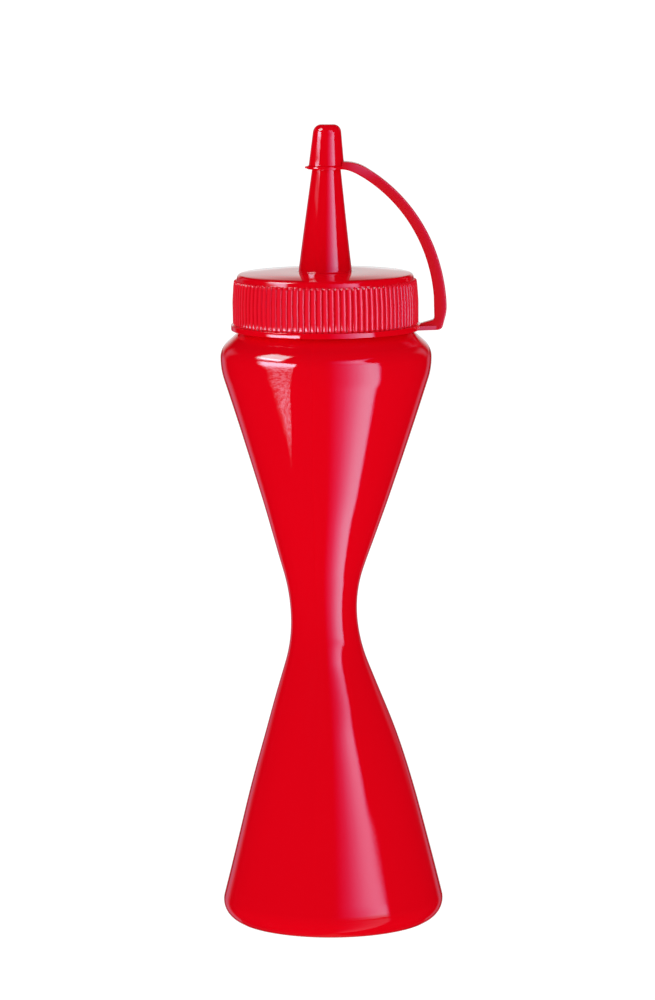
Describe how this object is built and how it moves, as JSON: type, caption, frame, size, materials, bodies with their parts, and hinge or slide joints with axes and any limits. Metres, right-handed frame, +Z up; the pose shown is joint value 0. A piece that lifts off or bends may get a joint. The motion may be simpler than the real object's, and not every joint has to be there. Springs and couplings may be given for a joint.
{
  "type": "squeeze bottle",
  "caption": "Waisted squeeze bottle for sauces, with a ribbed screw lid, a tall conical spout and a tethered spout cap.",
  "frame": {"origin": "centre of the standing ring under the foot, on the plane that the bottle rests on", "axes": "+Z up along the bottle's axis towards the spout, +X towards the tether's strap"},
  "size_m": [0.0689, 0.0664, 0.24],
  "materials": {
    "bottle_plastic": "glossy blow-moulded plastic with a faint grain",
    "lid_plastic": "glossy injection-moulded plastic",
    "tether_plastic": "semi-gloss injection-moulded plastic"
  },
  "bodies": {
    "root": {"bottle": "bottle_plastic", "lid": "lid_plastic", "tether": "tether_plastic"}
  },
  "joints": []
}
